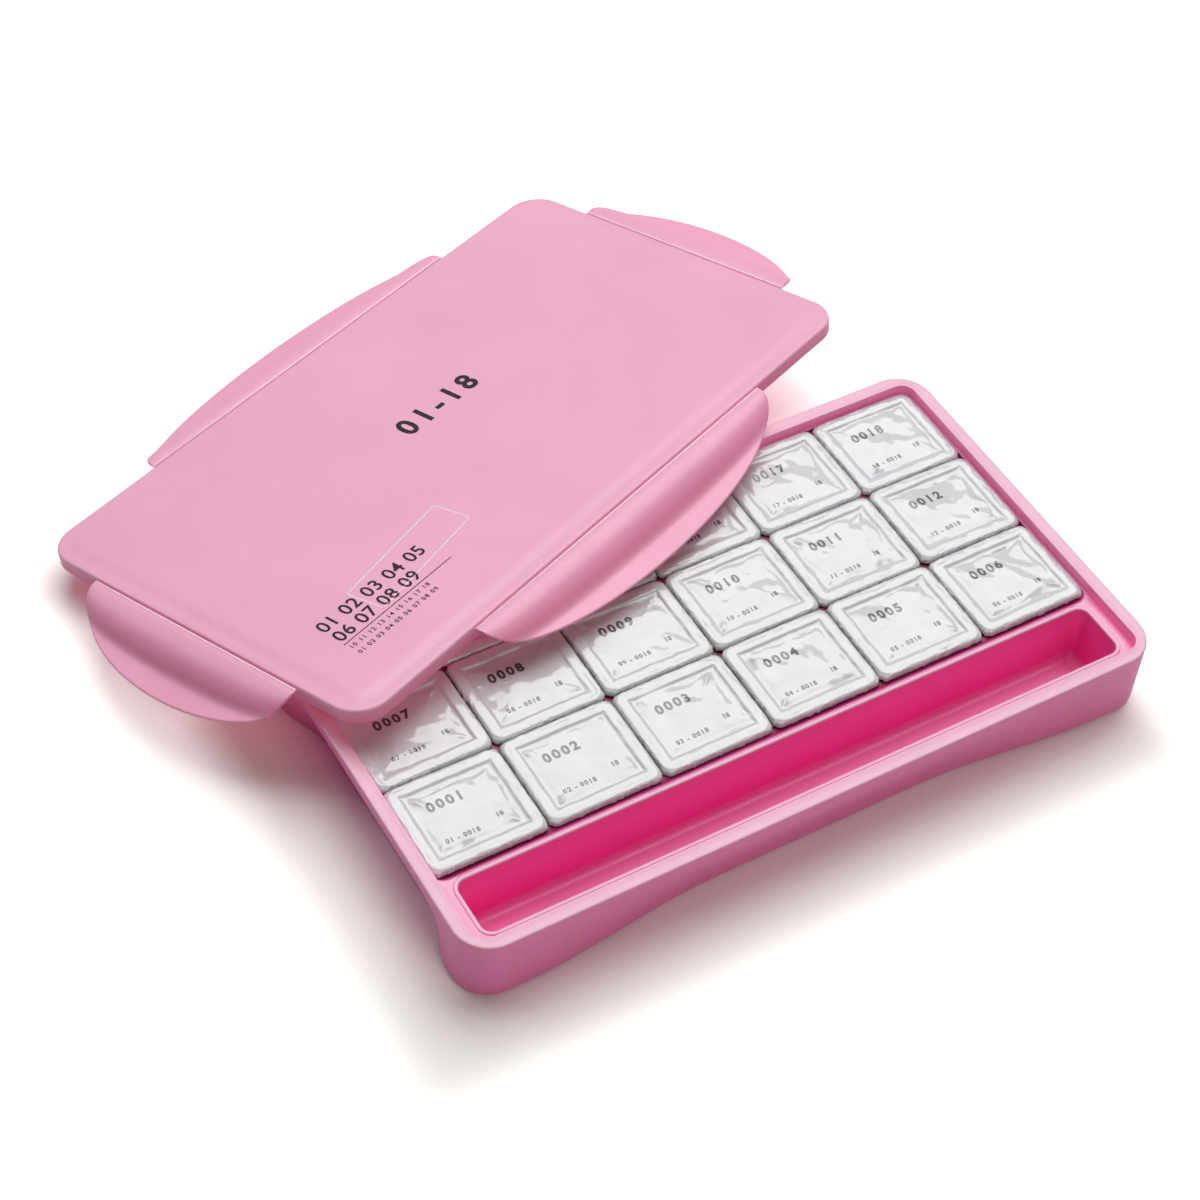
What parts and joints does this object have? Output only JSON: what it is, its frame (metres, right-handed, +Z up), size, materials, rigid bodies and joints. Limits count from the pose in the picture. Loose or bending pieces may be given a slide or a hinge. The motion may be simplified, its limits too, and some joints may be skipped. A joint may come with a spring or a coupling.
{
  "type": "gouache paint set box",
  "caption": "Pink moulded box of gouache paint: foil-sealed square cups in rows, a brush trough along the front, and a lift-off lid leaning across it with hinged latch flaps.",
  "frame": {"origin": "centre of the tray's flat bottom face", "axes": "+X along the tray's length to the right of someone facing the brush trough, +Y across it from the brush trough to the back row of cups, +Z up"},
  "size_m": [0.3763, 0.3795, 0.0516],
  "materials": {
    "tray": "satin moulded pink plastic",
    "lid": "satin moulded pink plastic, whitened along the creases",
    "cup": "thin white thermoformed plastic",
    "foil": "white-lacquered aluminium sealing foil, pressed and wrinkled",
    "paint_01": "moist opaque gouache paint",
    "paint_02": "moist opaque gouache paint",
    "paint_03": "moist opaque gouache paint",
    "paint_04": "moist opaque gouache paint",
    "paint_05": "moist opaque gouache paint",
    "paint_06": "moist opaque gouache paint",
    "paint_07": "moist opaque gouache paint",
    "paint_08": "moist opaque gouache paint",
    "paint_09": "moist opaque gouache paint",
    "paint_10": "moist opaque gouache paint",
    "paint_11": "moist opaque gouache paint",
    "paint_12": "moist opaque gouache paint",
    "paint_13": "moist opaque gouache paint",
    "paint_14": "moist opaque gouache paint",
    "paint_15": "moist opaque gouache paint",
    "paint_16": "moist opaque gouache paint",
    "paint_17": "moist opaque gouache paint",
    "paint_18": "moist opaque gouache paint"
  },
  "bodies": {
    "tray": {"tray": "tray"},
    "lid": {"lid_plate": "lid"},
    "flap_back": {"lid_flap_back": "lid"},
    "flap_front": {"lid_flap_front": "lid"},
    "flap_left": {"lid_flap_left": "lid"},
    "flap_right": {"lid_flap_right": "lid"},
    "cup_01": {"cup_01": "cup", "paint_01": "paint_01", "foil_01": "foil"},
    "cup_02": {"cup_02": "cup", "paint_02": "paint_02", "foil_02": "foil"},
    "cup_03": {"cup_03": "cup", "paint_03": "paint_03", "foil_03": "foil"},
    "cup_04": {"cup_04": "cup", "paint_04": "paint_04", "foil_04": "foil"},
    "cup_05": {"cup_05": "cup", "paint_05": "paint_05", "foil_05": "foil"},
    "cup_06": {"cup_06": "cup", "paint_06": "paint_06", "foil_06": "foil"},
    "cup_07": {"cup_07": "cup", "paint_07": "paint_07", "foil_07": "foil"},
    "cup_08": {"cup_08": "cup", "paint_08": "paint_08", "foil_08": "foil"},
    "cup_09": {"cup_09": "cup", "paint_09": "paint_09", "foil_09": "foil"},
    "cup_10": {"cup_10": "cup", "paint_10": "paint_10", "foil_10": "foil"},
    "cup_11": {"cup_11": "cup", "paint_11": "paint_11", "foil_11": "foil"},
    "cup_12": {"cup_12": "cup", "paint_12": "paint_12", "foil_12": "foil"},
    "cup_13": {"cup_13": "cup", "paint_13": "paint_13", "foil_13": "foil"},
    "cup_14": {"cup_14": "cup", "paint_14": "paint_14", "foil_14": "foil"},
    "cup_15": {"cup_15": "cup", "paint_15": "paint_15", "foil_15": "foil"},
    "cup_16": {"cup_16": "cup", "paint_16": "paint_16", "foil_16": "foil"},
    "cup_17": {"cup_17": "cup", "paint_17": "paint_17", "foil_17": "foil"},
    "cup_18": {"cup_18": "cup", "paint_18": "paint_18", "foil_18": "foil"}
  },
  "joints": [
    {"name": "lid_lift", "type": "slide", "parent": "tray", "child": "lid", "axis": [0, 0, 1], "range_m": [0, 0.12]},
    {"name": "flap_back_fold", "type": "hinge", "parent": "lid", "child": "flap_back", "pos_m": [-0.06832, 0.23773, 0.01427], "axis": [0.9345, 0.3554, -0.0204], "range_deg": [-71, 60], "stiffness_Nm_per_rad": 0.04},
    {"name": "flap_front_fold", "type": "hinge", "parent": "lid", "child": "flap_front", "pos_m": [-0.00303, 0.068, 0.04827], "axis": [-0.9345, -0.3554, 0.0204], "range_deg": [-15, 60], "stiffness_Nm_per_rad": 0.04},
    {"name": "flap_left_fold", "type": "hinge", "parent": "lid", "child": "flap_left", "pos_m": [-0.18515, 0.09602, 0.03454], "axis": [-0.3529, 0.9174, -0.1837], "range_deg": [-61, 60], "stiffness_Nm_per_rad": 0.04},
    {"name": "flap_right_fold", "type": "hinge", "parent": "lid", "child": "flap_right", "pos_m": [0.1138, 0.2097, 0.028], "axis": [0.3529, -0.9174, 0.1837], "range_deg": [-75, 60], "stiffness_Nm_per_rad": 0.04},
    {"name": "cup_01_lift", "type": "slide", "parent": "tray", "child": "cup_01", "axis": [0, 0, 1], "range_m": [0, 0.04]},
    {"name": "cup_02_lift", "type": "slide", "parent": "tray", "child": "cup_02", "axis": [0, 0, 1], "range_m": [0, 0.04]},
    {"name": "cup_03_lift", "type": "slide", "parent": "tray", "child": "cup_03", "axis": [0, 0, 1], "range_m": [0, 0.04]},
    {"name": "cup_04_lift", "type": "slide", "parent": "tray", "child": "cup_04", "axis": [0, 0, 1], "range_m": [0, 0.04]},
    {"name": "cup_05_lift", "type": "slide", "parent": "tray", "child": "cup_05", "axis": [0, 0, 1], "range_m": [0, 0.04]},
    {"name": "cup_06_lift", "type": "slide", "parent": "tray", "child": "cup_06", "axis": [0, 0, 1], "range_m": [0, 0.04]},
    {"name": "cup_07_lift", "type": "slide", "parent": "tray", "child": "cup_07", "axis": [0, 0, 1], "range_m": [0, 0.006]},
    {"name": "cup_08_lift", "type": "slide", "parent": "tray", "child": "cup_08", "axis": [0, 0, 1], "range_m": [0, 0.006]},
    {"name": "cup_09_lift", "type": "slide", "parent": "tray", "child": "cup_09", "axis": [0, 0, 1], "range_m": [0, 0.006]},
    {"name": "cup_10_lift", "type": "slide", "parent": "tray", "child": "cup_10", "axis": [0, 0, 1], "range_m": [0, 0.006]},
    {"name": "cup_11_lift", "type": "slide", "parent": "tray", "child": "cup_11", "axis": [0, 0, 1], "range_m": [0, 0.04]},
    {"name": "cup_12_lift", "type": "slide", "parent": "tray", "child": "cup_12", "axis": [0, 0, 1], "range_m": [0, 0.04]},
    {"name": "cup_13_lift", "type": "slide", "parent": "tray", "child": "cup_13", "axis": [0, 0, 1], "range_m": [0, 0.006]},
    {"name": "cup_14_lift", "type": "slide", "parent": "tray", "child": "cup_14", "axis": [0, 0, 1], "range_m": [0, 0.006]},
    {"name": "cup_15_lift", "type": "slide", "parent": "tray", "child": "cup_15", "axis": [0, 0, 1], "range_m": [0, 0.006]},
    {"name": "cup_16_lift", "type": "slide", "parent": "tray", "child": "cup_16", "axis": [0, 0, 1], "range_m": [0, 0.006]},
    {"name": "cup_17_lift", "type": "slide", "parent": "tray", "child": "cup_17", "axis": [0, 0, 1], "range_m": [0, 0.006]},
    {"name": "cup_18_lift", "type": "slide", "parent": "tray", "child": "cup_18", "axis": [0, 0, 1], "range_m": [0, 0.04]}
  ]
}
